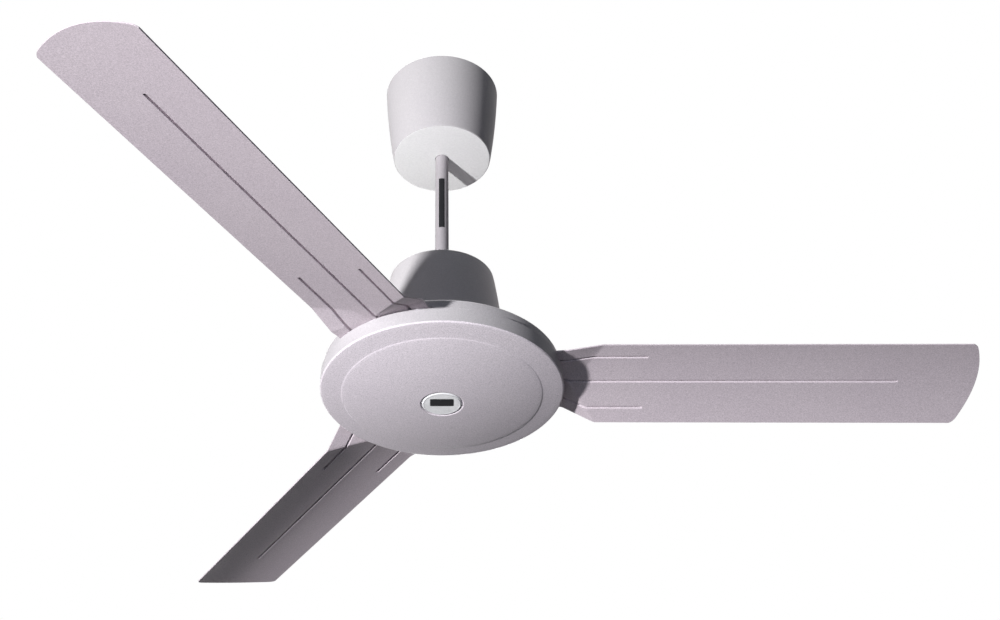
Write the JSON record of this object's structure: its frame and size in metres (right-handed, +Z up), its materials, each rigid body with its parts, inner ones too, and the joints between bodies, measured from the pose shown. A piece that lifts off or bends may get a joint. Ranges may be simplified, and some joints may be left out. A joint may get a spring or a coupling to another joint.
{
  "type": "ceiling fan",
  "caption": "Downrod ceiling fan with pitched paddle blades, a shallow domed hub disc, a tapered canopy cup at the ceiling and a matching cup over the rod coupling.",
  "frame": {"origin": "middle of the ceiling bracket's top face, where it meets the ceiling, on the fan's axis", "axes": "+Z up out of the bracket into the ceiling, along the downrod; +X along the first blade and along the roller bolt"},
  "size_m": [0.9417, 1.071, 0.49],
  "materials": {
    "blade_paint": "satin metallic silver paint with fine flake",
    "disc_paint": "satin metallic silver paint with fine flake",
    "cup_paint": "moulded plastic painted satin silver",
    "rod_paint": "satin silver paint",
    "rubber": "matt",
    "cast_housing": "die cast, satin",
    "core_steel": "laminated, oiled",
    "winding": "varnished copper wire",
    "badge_metal": "satin nickel",
    "black_plastic": "moulded",
    "white_plastic": "moulded",
    "bright_steel": "ground",
    "zinc_steel": "zinc plated"
  },
  "bodies": {
    "ceiling": {"ceiling_bracket": "zinc_steel", "roller_bolt": "zinc_steel", "roller_nut": "zinc_steel", "rubber_roller": "rubber"},
    "hanger": {"capacitor": "black_plastic", "capacitor_bracket": "zinc_steel", "capacitor_screw": "zinc_steel", "coupling_bolt": "zinc_steel", "coupling_nut": "zinc_steel", "coupling_split_pin": "zinc_steel", "downrod": "rod_paint", "lock_nut": "zinc_steel", "lower_bearing_inner_race": "bright_steel", "motor_lead": "white_plastic", "motor_shaft": "bright_steel", "rod_coupling": "zinc_steel", "shackle": "zinc_steel", "shackle_bolt": "zinc_steel", "shackle_nut": "zinc_steel", "shackle_split_pin": "zinc_steel", "shaft_bolt": "bright_steel", "shaft_nut": "bright_steel", "stator_core": "core_steel", "stator_winding": "winding", "terminal_block": "white_plastic", "upper_bearing_inner_race": "bright_steel"},
    "canopy": {"canopy": "cup_paint", "canopy_grip_ring": "rubber"},
    "lower_cover": {"lower_cover": "cup_paint", "lower_cover_grip_ring": "rubber"},
    "rotor": {"blade_1": "blade_paint", "blade_1_screw_1": "zinc_steel", "blade_1_screw_2": "zinc_steel", "blade_1_screw_3": "zinc_steel", "blade_2": "blade_paint", "blade_2_screw_1": "zinc_steel", "blade_2_screw_2": "zinc_steel", "blade_2_screw_3": "zinc_steel", "blade_3": "blade_paint", "blade_3_screw_1": "zinc_steel", "blade_3_screw_2": "zinc_steel", "blade_3_screw_3": "zinc_steel", "housing_screw_1": "zinc_steel", "housing_screw_2": "zinc_steel", "housing_screw_3": "zinc_steel", "shell_screw_1": "zinc_steel", "shell_screw_2": "zinc_steel", "shell_screw_3": "zinc_steel", "motor_housing_lower": "cast_housing", "motor_housing_upper": "cast_housing", "top_shell": "disc_paint", "bottom_cover": "disc_paint", "badge": "badge_metal", "centre_screw": "zinc_steel", "rotor_ring": "core_steel", "upper_bearing_outer_race": "bright_steel", "lower_bearing_outer_race": "bright_steel", "upper_bearing_ball_cage": "bright_steel", "lower_bearing_ball_cage": "bright_steel"}
  },
  "joints": [
    {"name": "hanger_swing", "type": "hinge", "parent": "ceiling", "child": "hanger", "pos_m": [0, 0, -0.032], "axis": [1, 0, 0], "range_deg": [-3, 3]},
    {"name": "canopy_slide", "type": "slide", "parent": "hanger", "child": "canopy", "axis": [0, 0, -1], "range_m": [0, 0.12]},
    {"name": "lower_cover_slide", "type": "slide", "parent": "hanger", "child": "lower_cover", "axis": [0, 0, 1], "range_m": [0, 0.06]},
    {"name": "rotor_spin", "type": "hinge", "parent": "hanger", "child": "rotor", "pos_m": [0, 0, -0.44], "axis": [0, 0, 1], "continuous": true}
  ]
}
